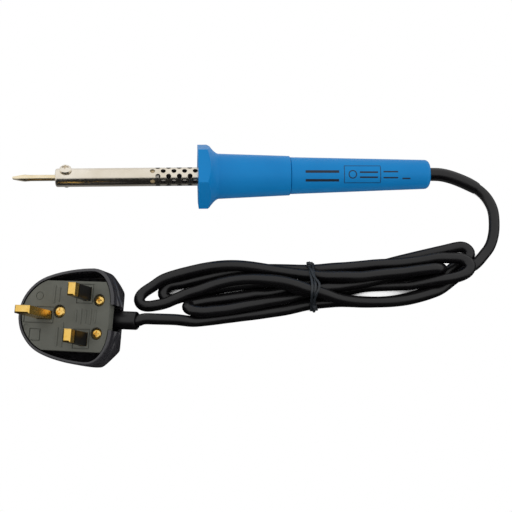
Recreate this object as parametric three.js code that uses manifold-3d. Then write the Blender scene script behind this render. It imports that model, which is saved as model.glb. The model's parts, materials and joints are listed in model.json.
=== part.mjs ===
// A mains soldering iron lying on a table, with its tied flex and its fused three-pin plug.
// Millimetres, +Z up, table at z = 0. The iron's axis lies over X, with its tip towards -X.
import * as THREE from 'three';
import { mergeVertices } from 'three/addons/utils/BufferGeometryUtils.js';
import Module from 'manifold-3d';

const wasm = await Module();
wasm.setup();

// ---------------------------------------------------------------- driving dimensions

const GAP = 0.3; // clearance between pieces that touch
const PITCH = THREE.MathUtils.degToRad(3.93); // the iron lies tip up: it rests on its guard and its tail
const TIP = new THREE.Vector3(-106.98, 0, 22.05); // the tip's end, on the iron's axis

// distances along the iron are measured from the tip
const BARREL_FRONT = 21.6;
const BARREL_BACK = 118;
const BARREL_RADIUS = 4.71;
const BARREL_WALL = 0.5;
const BIT_RADIUS = 1.575;
const BIT_LENGTH = 60;
const CLAMP_SCREW_AT = 26.9;
const CLAMP_SCREW_TURN = THREE.MathUtils.degToRad(30); // round the barrel, from straight up

const VENT_FRONT = 70.8;
const VENT_PITCH = 5.44;
const VENT_RADIUS = 1.28;
const VENT_ROWS = 10;
const VENT_TURN = THREE.MathUtils.degToRad(-16.6);

const CORE_BACK = 74;
const WINDING = { front: 33, back: 70, inner: 3.05, outer: 3.35 };
const MICA = { front: 32, back: 72, inner: 3.62, outer: 3.92 };
const BUSH = { front: 100, back: 112, radius: 3.9 };
const LEAD_OFFSET = 1.9; // of each heater lead from the axis
const LEAD_RADIUS = 0.55;
const LEAD_END = 150.5;
const EARTH_SCREW_AT = 114.5;

const GUARD_FRONT = 94;
const GUARD_BACK = 98;
const GUARD_FLAT = 15.22; // from the axis to each of the six flats
const GRIP_FRONT = 104.5;
const GRIP_JOINT = 141.3;
const GRIP_RADII = [11.6, 10.15];
const SHAFT_RADII = [9.53, 7.56];
const HANDLE_BACK = 214.2;
const CAVITY_FRONT = 106;
const CAVITY_RADIUS = 8.2;
const SHELL_BORE = 6.9;
const TAIL_WALL = 200; // front of the handle's thick end wall
const TAIL_HOLE = 3.75;
const FLANGE = { front: 106.3, back: 108, inner: 5.05, outer: 7.9 };

const CORD_RADIUS = 2.8;
const SLEEVE_RADII = [3.12, 3.42];
const SLEEVE_FRONT = 197.2; // both ends of the bend relief, measured along the flex
const SLEEVE_BACK = 241.8;
const SHEATH_START = 190; // where the flex's sheath ends inside the handle
const WIRE_RADIUS = 0.8;

const PLUG_ORIGIN = new THREE.Vector3(-69.5, -74.1, 25);
const PLUG_TURN = [8.01, -16.53, -8.37].map(THREE.MathUtils.degToRad); // lies askew on its rounded back
const PLUG_PIN_SPREAD = 11.11; // line and neutral pins from the centre line
const EARTH_PIN_BACK = 22.23; // earth pin from the line through the other two
const PIN_LONG = 22.73;
const PIN_SHORT = 17.7;
const PIN_THICK = 3.97;
const PIN_WIDE = 6.35;
const EARTH_WIDE = 7.92;
const PIN_SLEEVE = 12.2;
const PIN_FOOT = -8.6; // lower end of each pin, inside the plug
const PLUG_NOSE = -36.9;
const PLUG_END = 15.1;
const PLUG_HALF = 24.1;
const PLATE = { top: -0.5, bottom: -3.7, halfWidth: 17.3 };
const COVER_SCREW = [-14.3, 2];
const GRIP_SCREWS = [[6.6, 8.2], [6.6, -8.2]];
const FUSE = { y: 10.8, z: -9.2, radius: 3.175, front: -28.2, back: -2.8, cap: 6 };
const CORD_DEPTH = -12; // the flex's centre below the plug's face
const GRIPPED_END = 1.5; // where the flex's sheath stops inside the plug
const BOOT_FRONT = 10.9;
const BOOT_END = 22.7;
const END_LEAN = THREE.MathUtils.degToRad(24); // of the cover's flex end, below its upper third
const BACK_RADIUS = 60; // crown of the plug's back
const BACK_SLOPE = THREE.MathUtils.degToRad(16.68); // the back falls away from the face towards the flex

// the flex's free run from the handle, as centre points on and above the table
const LEAD_ROUTE = [
  [112.7, -0.2, 6.8], [117.9, -1.4, 6.3], [123.1, -3.3, 5.6], [128.3, -5.6, 4.9], [132.4, -8.0, 4.2],
  [135.9, -11.4, 3.5], [138.2, -15.6, 3.1], [139.4, -20.3, 2.9], [139.4, -25.8, 2.9], [138.7, -31.2, 2.9],
  [137.2, -36.4, 2.9], [135.4, -40.0, 2.9],
];
const PLUG_ROUTE = [
  [-41, -75.3, 20.4], [-35, -75.2, 18.7], [-28, -74.9, 15.6], [-20.6, -74.6, 12.2],
];
// plan of the folded and tied hank, round its silhouette from the far left loop
const HANK_PLAN = [
  [-47.8, -62], [-45.5, -57.2], [-39, -53], [-29, -48], [-13.5, -43.4], [2, -42.5], [22, -44.5], [40.5, -46.4],
  [46, -46.4], [63.5, -45.4], [84, -42.5], [104.5, -38.8], [117, -36.9], [124.5, -37.6], [128.4, -40.6],
  [132.5, -39.7], [137.1, -42.5], [134.5, -48.5], [128, -54.2], [118, -59.6], [107.5, -64.4], [87, -69.8],
  [72, -70.3], [57, -69.6], [46, -69.8], [40, -69.8], [16, -73.6], [-4, -75.8], [-18.9, -77.2], [-18.9, -71.8],
  [-21.2, -69], [-29, -65.8], [-39.3, -67.8], [-44.6, -66.8],
];
const HANK_BOTTOM = 1;
const HANK_TOP = 14;
const TIE = { at: 43, width: 3.6, low: -70.9, high: -45.3, top: 15.1, wall: 0.7 };

// ---------------------------------------------------------------- materials

const finish = (color, roughness, metalness = 0) =>
  new THREE.MeshStandardMaterial({ color, roughness, metalness });

const nickel = finish('#d9cfbf', 0.22, 1);
const steel = finish('#b9b3a8', 0.35, 1);
const brass = finish('#d9a648', 0.3, 1);
const copperWire = finish('#b06a3c', 0.4, 1);
const bluePlastic = finish('#1473b8', 0.45);
const blackPvc = finish('#1c1b1f', 0.42);
const darkThermoset = finish('#2b2a2d', 0.3);
const greyThermoset = finish('#5f5d57', 0.6);
const ceramic = finish('#e6e0d2', 0.7);
const mica = finish('#b8a583', 0.4);
const slateTie = finish('#4b555e', 0.5);
const brownPvc = finish('#6b3f23', 0.45);
const lightBluePvc = finish('#3f7fbf', 0.45);
const greenYellowPvc = finish('#7da23a', 0.45);

// ---------------------------------------------------------------- shape helpers

// A closed geometry as a solid for joining and cutting.
function solid(geometry) {
  const bare = geometry.clone();
  bare.deleteAttribute('normal');
  bare.deleteAttribute('uv');
  const merged = mergeVertices(bare, 1e-4);
  const corners = [];
  const { array } = merged.index;
  for (let i = 0; i < array.length; i += 3) {
    const [a, b, c] = [array[i], array[i + 1], array[i + 2]];
    if (a !== b && b !== c && c !== a) corners.push(a, b, c);
  }
  return new wasm.Manifold(new wasm.Mesh({
    numProp: 3,
    vertProperties: Float32Array.from(merged.attributes.position.array),
    triVerts: Uint32Array.from(corners),
  }));
}

// A solid back as a geometry.
function shaped(body) {
  const { vertProperties, triVerts } = body.getMesh();
  const geometry = new THREE.BufferGeometry();
  geometry.setAttribute('position', new THREE.BufferAttribute(vertProperties, 3));
  geometry.setIndex(new THREE.BufferAttribute(triVerts, 1));
  geometry.computeVertexNormals();
  return geometry;
}

const joined = (...geometries) => shaped(wasm.Manifold.union(geometries.map(solid)));

function cut(geometry, ...cutters) {
  return shaped(solid(geometry).subtract(wasm.Manifold.union(cutters.map(solid))));
}

const common = (a, b) => shaped(solid(a).intersect(solid(b)));

// A profile of [along, radius] points spun about X. It starts and ends on the axis.
function turned(profile, sides = 32) {
  const points = profile.map(([along, radius]) => new THREE.Vector2(radius, along));
  return new THREE.LatheGeometry(points, sides).rotateZ(-Math.PI / 2);
}

// The same for a ring or tube: the profile closes on itself.
const turnedRing = (profile, sides) => turned([...profile, profile[0]], sides);

const tube = (front, back, inner, outer, sides) =>
  turnedRing([[front, outer], [back, outer], [back, inner], [front, inner]], sides);

const bar = (front, back, radius, sides = 8) =>
  turned([[front, 0], [front, radius], [back, radius], [back, 0]], sides);

// A round peg along Z, and a box between two corners.
const peg = (radius, low, high, sides = 16) =>
  new THREE.CylinderGeometry(radius, radius, high - low, sides)
    .rotateX(Math.PI / 2).translate(0, 0, (low + high) / 2);

function block([x0, y0, z0], [x1, y1, z1]) {
  return new THREE.BoxGeometry(x1 - x0, y1 - y0, z1 - z0)
    .translate((x0 + x1) / 2, (y0 + y1) / 2, (z0 + z1) / 2);
}

const rounded = (radius) => new THREE.Shape().absarc(0, 0, radius, 0, 2 * Math.PI);

// A round rod, or a tube with an inner radius, along a list of points.
function alongRoute(points, radius, steps, sides = 10, inner = 0) {
  const section = rounded(radius);
  if (inner) section.holes.push(new THREE.Path().absarc(0, 0, inner, 0, 2 * Math.PI, true));
  return new THREE.ExtrudeGeometry(section, {
    steps,
    curveSegments: sides / 2,
    extrudePath: new THREE.CatmullRomCurve3(points),
  });
}

const vectors = (list) => list.map((point) => new THREE.Vector3(...point));

// A cross-head screw standing on Z: the head's underside is at z = 0.
function crossScrew(headRadius, headHeight, shankRadius, shankLength) {
  const dome = [[0, 0], [0, headRadius], [headHeight * 0.45, headRadius], [headHeight * 0.85, headRadius * 0.7],
    [headHeight, headRadius * 0.35], [headHeight, 0]];
  const head = turned(dome, 20).rotateY(-Math.PI / 2);
  const slotWide = headRadius * 0.28;
  const slotLong = headRadius * 1.1;
  const floor = headHeight * 0.4;
  return cut(
    joined(head, peg(shankRadius, -shankLength, headHeight * 0.2, 12)),
    block([-slotLong / 2, -slotWide / 2, floor], [slotLong / 2, slotWide / 2, headHeight + 1]),
    block([-slotWide / 2, -slotLong / 2, floor], [slotWide / 2, slotLong / 2, headHeight + 1]),
  );
}

// ---------------------------------------------------------------- scene graph

const solderingIron = new THREE.Group();

const iron = new THREE.Group();
iron.position.copy(TIP);
iron.rotation.y = PITCH;
solderingIron.add(iron);

const plug = new THREE.Group();
plug.position.copy(PLUG_ORIGIN);
plug.rotation.set(...PLUG_TURN, 'ZYX');
solderingIron.add(plug);
solderingIron.updateMatrixWorld(true);

function piece(name, geometry, material, parent = solderingIron) {
  const mesh = new THREE.Mesh(geometry, material);
  mesh.name = name;
  parent.add(mesh);
  return mesh;
}

const onIron = (along, y = 0, z = 0) => new THREE.Vector3(along, y, z).applyMatrix4(iron.matrixWorld);
const onPlug = (x, y, z) => new THREE.Vector3(x, y, z).applyMatrix4(plug.matrixWorld);

// ---------------------------------------------------------------- hot end

// The chisel: a slightly flared rod with two flats that close to a thin edge.
function bit() {
  const flare = [6, 1.8];
  const rod = turned([[0, 0], [0, 1.6], flare, [9, BIT_RADIUS], [BIT_LENGTH, BIT_RADIUS], [BIT_LENGTH, 0]], 24);
  const edgeHalf = 0.35;
  const slope = Math.atan2(1.8 - edgeHalf, 6.6);
  const flats = [1, -1].map((side) => new THREE.BoxGeometry(24, 8, 12)
    .translate(0, side * 4, 0)
    .rotateZ(side * slope)
    .translate(0, side * edgeHalf, 0)
    .rotateX(THREE.MathUtils.degToRad(6)));
  return cut(rod, ...flats);
}
piece('bit', bit(), nickel, iron);

// A peg that crosses the barrel's wall, turned round the barrel from straight up.
const acrossWall = (along, turn, radius, sides) =>
  peg(radius, BARREL_RADIUS - 1.6, BARREL_RADIUS + 1.2, sides).rotateX(-turn).translate(along, 0, 0);

function vents() {
  const holes = [];
  for (let row = 0; row < VENT_ROWS; row += 1) {
    const staggered = row % 2 === 0;
    const turn = VENT_TURN + (row * 2 * Math.PI) / VENT_ROWS;
    const count = staggered ? 4 : 5;
    for (let hole = 0; hole < count; hole += 1) {
      const along = VENT_FRONT + VENT_PITCH * (hole + (staggered ? 0.5 : 0));
      holes.push(acrossWall(along, turn, VENT_RADIUS, 6));
    }
  }
  return holes;
}

function barrel() {
  const inner = BARREL_RADIUS - BARREL_WALL;
  const mouth = BIT_RADIUS + 0.5;
  const lip = BARREL_FRONT;
  const shell = turnedRing([
    [lip, mouth], [lip, 3.9], [lip + 0.35, 4.45], [lip + 1, BARREL_RADIUS], [BARREL_BACK, BARREL_RADIUS],
    [BARREL_BACK, inner], [lip + 0.6, inner], [lip + 0.6, mouth],
  ]);
  return cut(
    shell,
    acrossWall(CLAMP_SCREW_AT, CLAMP_SCREW_TURN, 1.85, 12),
    acrossWall(CLAMP_SCREW_AT, CLAMP_SCREW_TURN + Math.PI, 1.35, 12),
    acrossWall(EARTH_SCREW_AT, 0, 1.2, 12),
    ...vents(),
  );
}
piece('barrel', barrel(), nickel, iron);

// The screw stands on the barrel and presses on the bit.
const screwSeat = BARREL_RADIUS + GAP;
const clampScrew = crossScrew(3.05, 2.1, 1.5, screwSeat - BIT_RADIUS - GAP)
  .translate(0, 0, screwSeat)
  .rotateX(-CLAMP_SCREW_TURN)
  .translate(CLAMP_SCREW_AT, 0, 0);
piece('clamp_screw', clampScrew, nickel, iron);

const rivetHead = turned([[0, 0], [0, 1.7], [0.35, 1.5], [0.7, 0.8], [0.7, 0]], 16).rotateY(-Math.PI / 2);
const coreRivet = joined(rivetHead, peg(1, -2.3, 0.2, 12))
  .translate(0, 0, screwSeat)
  .rotateX(-(CLAMP_SCREW_TURN + Math.PI))
  .translate(CLAMP_SCREW_AT, 0, 0);
piece('core_rivet', coreRivet, steel, iron);

function heaterCore() {
  const bore = 1.92;
  const nose = BARREL_RADIUS - BARREL_WALL - GAP;
  const front = BARREL_FRONT + 0.9;
  const body = turnedRing([
    [front, nose], [31.5, nose], [31.5, 2.75], [CORE_BACK, 2.75], [CORE_BACK, bore], [front, bore],
  ], 24);
  const screwHole = peg(1.82, 0, 6, 12).rotateX(-CLAMP_SCREW_TURN).translate(CLAMP_SCREW_AT, 0, 0);
  const rivetHole = peg(1.32, 2.4, 6, 12).rotateX(-(CLAMP_SCREW_TURN + Math.PI)).translate(CLAMP_SCREW_AT, 0, 0);
  return cut(body, screwHole, rivetHole);
}
piece('heater_core', heaterCore(), steel, iron);
piece('heater_winding', tube(WINDING.front, WINDING.back, WINDING.inner, WINDING.outer, 24), copperWire, iron);
piece('mica_wrap', tube(MICA.front, MICA.back, MICA.inner, MICA.outer, 24), mica, iron);

const leadHoles = [1, -1].map((side) => bar(BUSH.front - 1, BUSH.back + 1, 0.95, 12).translate(0, side * LEAD_OFFSET, 0));
piece('ceramic_bush', cut(bar(BUSH.front, BUSH.back, BUSH.radius, 24), ...leadHoles), ceramic, iron);

const leadSides = { live: 1, neutral: -1 };
for (const [name, side] of Object.entries(leadSides)) {
  const lead = bar(CORE_BACK + 1, LEAD_END, LEAD_RADIUS).translate(0, side * LEAD_OFFSET, 0);
  piece(`heater_lead_${name}`, lead, steel, iron);
}

// ---------------------------------------------------------------- handle

piece('barrel_flange', tube(FLANGE.front, FLANGE.back, FLANGE.inner, FLANGE.outer, 32), steel, iron);

// The grip: a round body that flares by a hollow curve into a six-sided guard.
function handleFront() {
  const flareRise = GUARD_FLAT / Math.cos(Math.PI / 6) + 1 - GRIP_RADII[0];
  const flare = [0, 0.25, 0.5, 0.75, 1].map((share) => {
    const angle = (share * Math.PI) / 2;
    const along = GUARD_BACK + (GRIP_FRONT - GUARD_BACK) * Math.sin(angle);
    return [along, GRIP_RADII[0] + flareRise * (1 - Math.sin(angle)) ** 1.6];
  });
  const body = turned([
    [GUARD_FRONT, 0], [GUARD_FRONT, GRIP_RADII[0] + flareRise], ...flare,
    [GRIP_JOINT - 0.1, GRIP_RADII[1]], [GRIP_JOINT - 0.1, 0],
  ], 42);
  const guardRadius = GUARD_FLAT / Math.cos(Math.PI / 6);
  const length = GRIP_JOINT - GUARD_FRONT + 2;
  const sixSides = new THREE.CylinderGeometry(guardRadius, guardRadius, length, 6, 1, false, Math.PI / 6)
    .rotateZ(-Math.PI / 2)
    .translate(GUARD_FRONT - 1 + length / 2, 0, 0);
  return cut(
    common(body, sixSides),
    bar(GUARD_FRONT - 1, CAVITY_FRONT + 1, BARREL_RADIUS + 0.4, 24),
    bar(CAVITY_FRONT, GRIP_JOINT + 1, CAVITY_RADIUS, 32),
  );
}
piece('handle_front', handleFront(), bluePlastic, iron);

const corner = 2.5;
const cornerArc = [0, 1, 2, 3].map((step) => {
  const angle = (step * Math.PI) / 6;
  return [HANDLE_BACK - corner + corner * Math.sin(angle), SHAFT_RADII[1] - corner + corner * Math.cos(angle)];
});
const handleRear = turnedRing([
  [FLANGE.back + GAP, CAVITY_RADIUS - GAP], [GRIP_JOINT + 0.2, CAVITY_RADIUS - GAP],
  [GRIP_JOINT + 0.2, SHAFT_RADII[0]], ...cornerArc, [HANDLE_BACK, TAIL_HOLE], [TAIL_WALL, TAIL_HOLE],
  [TAIL_WALL, SHELL_BORE - 1.6], [TAIL_WALL - 30, SHELL_BORE], [FLANGE.back + GAP, SHELL_BORE],
], 36);
piece('handle_rear', handleRear, bluePlastic, iron);

const tagLow = BARREL_RADIUS + 0.35;
const tagHole = peg(1.2, tagLow - 1, tagLow + 2, 12).translate(EARTH_SCREW_AT, 0, 0);
piece('earth_tag', cut(block([111, -1.8, tagLow], [127, 1.8, tagLow + 0.5]), tagHole), brass, iron);
const earthScrew = crossScrew(1.7, 0.8, 0.9, 1.9).translate(EARTH_SCREW_AT, 0, tagLow + 0.5 + GAP);
piece('earth_screw', earthScrew, steel, iron);

for (const [name, side] of Object.entries(leadSides)) {
  const crimp = tube(146, 156, 1.1, 1.65, 12).translate(0, side * LEAD_OFFSET, 0);
  piece(`lead_crimp_${name}`, crimp, steel, iron);
  const wire = bar(LEAD_END + 0.5, SHEATH_START - GAP, WIRE_RADIUS).translate(0, side * LEAD_OFFSET, 0);
  piece(`handle_wire_${name}`, wire, name === 'live' ? brownPvc : lightBluePvc, iron);
}
const earthWire = alongRoute(
  vectors([[127.4, 0, 5.3], [140, 0, 4.9], [160, 0, 3.8], [178, 0, 2.1], [SHEATH_START - GAP, 0, 1.8]]),
  WIRE_RADIUS, 12, 8,
);
piece('handle_wire_earth', earthWire, greenYellowPvc, iron);
piece('cord_ferrule', tube(192, 196.4, CORD_RADIUS + GAP, 4.6, 24), steel, iron);

// ---------------------------------------------------------------- flex

// The flex starts inside the handle, runs straight out of its tail and then turns along the table.
const insideHandle = [SHEATH_START, 198, 206, HANDLE_BACK].map((along) => onIron(along));
const leadCurve = new THREE.CatmullRomCurve3([...insideHandle, ...vectors(LEAD_ROUTE)]);
piece('cord_lead', alongRoute(leadCurve.points, CORD_RADIUS, 24), blackPvc);

// The bend relief is a long soft sleeve with a collar inside the handle's end wall.
function cordSleeve() {
  const steps = 20;
  const total = leadCurve.getLength();
  const centre = [];
  for (let step = 0; step <= steps; step += 1) {
    const along = SLEEVE_FRONT + ((SLEEVE_BACK - SLEEVE_FRONT) * step) / steps;
    centre.push(leadCurve.getPointAt((along - SHEATH_START) / total));
  }
  const skin = alongRoute(centre, SLEEVE_RADII[1], 13, 10, SLEEVE_RADII[0]);
  const collar = tube(TAIL_WALL - 2.6, TAIL_WALL - GAP, SLEEVE_RADII[0] + 0.1, 4.9, 24).applyMatrix4(iron.matrixWorld);
  return joined(skin, collar);
}
piece('cord_sleeve', cordSleeve(), blackPvc);

const hankOutline = new THREE.Shape(HANK_PLAN.map(([x, y]) => new THREE.Vector2(x, y)));
const hank = new THREE.ExtrudeGeometry(hankOutline, { depth: HANK_TOP - HANK_BOTTOM, bevelEnabled: false })
  .translate(0, 0, HANK_BOTTOM);
piece('cord_hank', hank, blackPvc);

const tieInner = TIE.wall + 0.05;
const tieBand = cut(
  block([TIE.at - TIE.width / 2, TIE.low, 0.02], [TIE.at + TIE.width / 2, TIE.high, TIE.top]),
  block([TIE.at - TIE.width, TIE.low + tieInner, 0.62], [TIE.at + TIE.width, TIE.high - tieInner, TIE.top - tieInner]),
);
piece('cord_tie', tieBand, slateTie);

const insidePlug = [GRIPPED_END, 9, 16, BOOT_END].map((x) => onPlug(x, 0, CORD_DEPTH));
piece('cord_to_plug', alongRoute([...insidePlug, ...vectors(PLUG_ROUTE)], CORD_RADIUS, 14), blackPvc);

// ---------------------------------------------------------------- plug
// In the plug's own frame the face is z = 0, the pins stand on +Z and the flex leaves along +X.

// The egg-shaped outline, drawn in from its edge by an inset.
function plugOutline(inset) {
  const middle = (PLUG_END + PLUG_NOSE) / 2;
  const shrinkX = 1 - inset / ((PLUG_END - PLUG_NOSE) / 2);
  const shrinkY = 1 - inset / PLUG_HALF;
  const at = (x, y) => [middle + (x - middle) * shrinkX, y * shrinkY];
  const outline = new THREE.Shape();
  outline.moveTo(...at(14.7, -8));
  outline.lineTo(...at(14.7, 8));
  outline.bezierCurveTo(...at(14, 16.5), ...at(9.5, PLUG_HALF), ...at(2, PLUG_HALF));
  outline.bezierCurveTo(...at(-8, 23.9), ...at(-21.5, 21.2), ...at(-27.5, 17));
  outline.bezierCurveTo(...at(-33, 13), ...at(PLUG_NOSE, 7), ...at(PLUG_NOSE, 0));
  outline.bezierCurveTo(...at(PLUG_NOSE, -7), ...at(-33, -13), ...at(-27.5, -17));
  outline.bezierCurveTo(...at(-21.5, -21.2), ...at(-8, -23.9), ...at(2, -PLUG_HALF));
  outline.bezierCurveTo(...at(9.5, -PLUG_HALF), ...at(14, -16.5), ...at(14.7, -8));
  return outline;
}

const slab = (outline, low, high) =>
  new THREE.ExtrudeGeometry(outline, { depth: high - low, bevelEnabled: false, curveSegments: 5 })
    .translate(0, 0, low);

// The crowned, sloping back is part of a wide cylinder that just touches the table.
function backEnvelope(radius) {
  const rise = (BACK_RADIUS - PLUG_ORIGIN.z) / 0.991;
  return new THREE.CylinderGeometry(radius, radius, 120, 96)
    .rotateZ(Math.PI / 2)
    .rotateY(BACK_SLOPE)
    .translate(Math.sin(BACK_SLOPE) * rise, 0, Math.cos(BACK_SLOPE) * rise);
}

// A body of the outline whose sides round in towards its back, and whose end leans in under the flex.
function plugBody(inset) {
  const [roundDepth, roundIn, straight] = [18, 9, 40];
  const sides = new THREE.ExtrudeGeometry(plugOutline(inset), {
    depth: straight,
    bevelThickness: roundDepth,
    bevelSize: roundIn,
    bevelOffset: -roundIn,
    bevelSegments: 4,
    curveSegments: 5,
  }).translate(0, 0, -12);
  const leaningEnd = block([0, -40, -60], [40, 40, 20])
    .rotateY(END_LEAN)
    .translate(14.7 - inset * 1.2, 0, -9);
  const above = block([-60, -40, inset ? 1 : 0], [40, 40, 80]);
  return cut(sides, leaningEnd, above);
}

function plugCover() {
  const shell = common(plugBody(0), backEnvelope(BACK_RADIUS));
  const hollow = common(plugBody(1.8), backEnvelope(BACK_RADIUS - 2.3));
  const bootHole = bar(4, 20, 4.9, 20).translate(0, 0, CORD_DEPTH);
  const bootSlot = block([8, -6.3, CORD_DEPTH + 1], [20, 6.3, 1]);
  const cutShell = cut(shell, hollow, bootHole, bootSlot);
  const post = cut(peg(3.4, -20.8, -13, 16), peg(1.62, -16.5, -12, 12)).translate(COVER_SCREW[0], COVER_SCREW[1], 0);
  return joined(cutShell, post);
}
piece('plug_cover', plugCover(), darkThermoset, plug);

function plugBase() {
  const inner = slab(plugOutline(2.2), PLATE.bottom, PLATE.top);
  const plate = common(inner, block([-40, -PLATE.halfWidth, -20], [20, PLATE.halfWidth, 5]));
  const gripBed = block([2.2, -11.5, CORD_DEPTH + CORD_RADIUS + GAP], [10.6, 11.5, PLATE.bottom + 0.5]);
  const tongue = block([11.2, -5.9, -6], [12.4, 5.9, PLATE.bottom + 0.5]);
  const screwPost = peg(4.1, -12.4, PLATE.bottom + 0.5, 20).translate(COVER_SCREW[0], COVER_SCREW[1], 0);
  const holes = [
    pinHole(0, PLUG_PIN_SPREAD, PIN_THICK, PIN_WIDE),
    pinHole(0, -PLUG_PIN_SPREAD, PIN_THICK, PIN_WIDE),
    pinHole(-EARTH_PIN_BACK, 0, EARTH_WIDE, PIN_THICK),
    peg(1.8, -20, 5, 12).translate(COVER_SCREW[0], COVER_SCREW[1], 0),
    peg(3.4, -2.5, 5, 20).translate(COVER_SCREW[0], COVER_SCREW[1], 0),
    ...GRIP_SCREWS.map(([x, y]) => peg(1.8, -20, 5, 12).translate(x, y, 0)),
    ...GRIP_SCREWS.map(([x, y]) => peg(3.1, -2.5, 5, 20).translate(x, y, 0)),
  ];
  return cut(joined(plate, gripBed, tongue, screwPost), ...holes);
}

const pinHole = (x, y, wideX, wideY) =>
  block([x - wideX / 2 - GAP, y - wideY / 2 - GAP, -20], [x + wideX / 2 + GAP, y + wideY / 2 + GAP, 5]);
piece('plug_base', plugBase(), greyThermoset, plug);

// A rectangular pin with chamfered ends.
function pinBar(wideX, wideY, low, high) {
  const chamfer = 0.7;
  const section = new THREE.Shape();
  const [x, y] = [wideX / 2 - chamfer, wideY / 2 - chamfer];
  section.moveTo(-x, -y).lineTo(x, -y).lineTo(x, y).lineTo(-x, y).closePath();
  return new THREE.ExtrudeGeometry(section, {
    depth: high - low - 2 * chamfer,
    bevelSize: chamfer,
    bevelThickness: chamfer,
    bevelSegments: 1,
  }).translate(0, 0, low + chamfer);
}

// A line or neutral pin: its lower half is necked down to take an insulating sleeve.
const SLEEVE_WALL = 0.5;
function sleevedPin() {
  const neckX = PIN_THICK / 2 - SLEEVE_WALL - GAP;
  const neckY = PIN_WIDE / 2 - SLEEVE_WALL - GAP;
  const neck = block([-neckX, -neckY, -1], [neckX, neckY, PIN_SLEEVE + 2]);
  return joined(
    pinBar(PIN_THICK, PIN_WIDE, PIN_SLEEVE + GAP, PIN_SHORT),
    neck,
    block([-PIN_THICK / 2, -PIN_WIDE / 2, PIN_FOOT], [PIN_THICK / 2, PIN_WIDE / 2, -0.6]),
  );
}

function pinSleeve() {
  const outer = block([-PIN_THICK / 2, -PIN_WIDE / 2, -GAP], [PIN_THICK / 2, PIN_WIDE / 2, PIN_SLEEVE]);
  const bore = block(
    [-PIN_THICK / 2 + SLEEVE_WALL, -PIN_WIDE / 2 + SLEEVE_WALL, -2],
    [PIN_THICK / 2 - SLEEVE_WALL, PIN_WIDE / 2 - SLEEVE_WALL, PIN_SLEEVE + 2],
  );
  return cut(outer, bore);
}

piece('earth_pin', pinBar(EARTH_WIDE, PIN_THICK, PIN_FOOT, PIN_LONG).translate(-EARTH_PIN_BACK, 0, 0), brass, plug);
for (const [name, side] of Object.entries(leadSides)) {
  const place = (geometry) => geometry.translate(0, side * PLUG_PIN_SPREAD, 0);
  piece(`${name}_pin`, place(sleevedPin()), brass, plug);
  piece(`${name}_pin_sleeve`, place(pinSleeve()), blackPvc, plug);
}

const headSeat = -2.5 + GAP;
piece('cover_screw', crossScrew(2.8, 1.5, 1.3, 12.4).translate(COVER_SCREW[0], COVER_SCREW[1], headSeat), brass, plug);
GRIP_SCREWS.forEach(([x, y], index) => {
  piece(`grip_screw_${index + 1}`, crossScrew(2.55, 1.5, 1.3, 14.6).translate(x, y, headSeat), brass, plug);
});

// The bar that clamps the flex against the base.
const gripTop = CORD_DEPTH - CORD_RADIUS - GAP;
const gripHoles = GRIP_SCREWS.map(([x, y]) => peg(1.62, -30, 0, 12).translate(x, y, 0));
piece('cord_grip', cut(block([4.4, -11.2, gripTop - 2], [8.2, 11.2, gripTop]), ...gripHoles), greyThermoset, plug);

// The cartridge fuse lies beside the centre line, between two clips.
const fusePlace = (geometry) => geometry.translate(0, FUSE.y, FUSE.z);
const fuseMiddle = bar(FUSE.front + FUSE.cap + GAP, FUSE.back - FUSE.cap - GAP, 2.9, 20);
piece('fuse_body', fusePlace(fuseMiddle), ceramic, plug);
piece('fuse_cap_1', fusePlace(bar(FUSE.front, FUSE.front + FUSE.cap, FUSE.radius, 20)), nickel, plug);
piece('fuse_cap_2', fusePlace(bar(FUSE.back - FUSE.cap, FUSE.back, FUSE.radius, 20)), nickel, plug);

// The boot is a short stiff sleeve through the cover's wall.
const bootProfile = [
  [BOOT_FRONT, 4.5], [BOOT_END - 0.6, 4.5], [BOOT_END, 4.1], [BOOT_END, CORD_RADIUS + GAP],
  [BOOT_FRONT, CORD_RADIUS + GAP],
];
piece('plug_boot', turnedRing(bootProfile, 24).translate(0, 0, CORD_DEPTH), blackPvc, plug);

export default solderingIron;
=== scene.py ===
"""A mains soldering iron with a tied flex and a fused three-pin plug, lying on a white table.

Metres, +Z up, table at z = 0. The iron's axis lies over X, with its tip towards -X. Forms are shaped in
millimetres, in the iron's or the plug's own frame, and put in their places when they are finished.
"""

import json
import math

import bmesh
import bpy
import numpy as np
from mathutils import Matrix, Vector
from mathutils.geometry import convex_hull_2d, interpolate_bezier


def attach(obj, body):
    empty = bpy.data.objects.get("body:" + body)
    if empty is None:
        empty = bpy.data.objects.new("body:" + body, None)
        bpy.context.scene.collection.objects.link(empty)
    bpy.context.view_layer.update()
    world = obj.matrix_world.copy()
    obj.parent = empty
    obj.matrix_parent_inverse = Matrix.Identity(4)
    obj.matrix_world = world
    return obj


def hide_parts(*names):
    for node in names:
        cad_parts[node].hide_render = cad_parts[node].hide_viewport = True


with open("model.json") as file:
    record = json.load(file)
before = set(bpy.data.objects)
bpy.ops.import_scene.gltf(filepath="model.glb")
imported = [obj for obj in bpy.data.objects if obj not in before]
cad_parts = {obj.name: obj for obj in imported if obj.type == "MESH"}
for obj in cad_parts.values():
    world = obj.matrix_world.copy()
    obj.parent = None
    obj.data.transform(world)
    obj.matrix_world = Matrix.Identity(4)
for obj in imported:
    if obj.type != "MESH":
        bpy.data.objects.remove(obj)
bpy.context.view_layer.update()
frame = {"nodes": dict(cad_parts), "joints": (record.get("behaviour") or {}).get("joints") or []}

MM = 0.001
IN_MM = Matrix.Scale(MM, 4)
JOINTS = {joint["name"]: joint for joint in frame["joints"]}

# ---------------------------------------------------------------- camera and light


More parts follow.
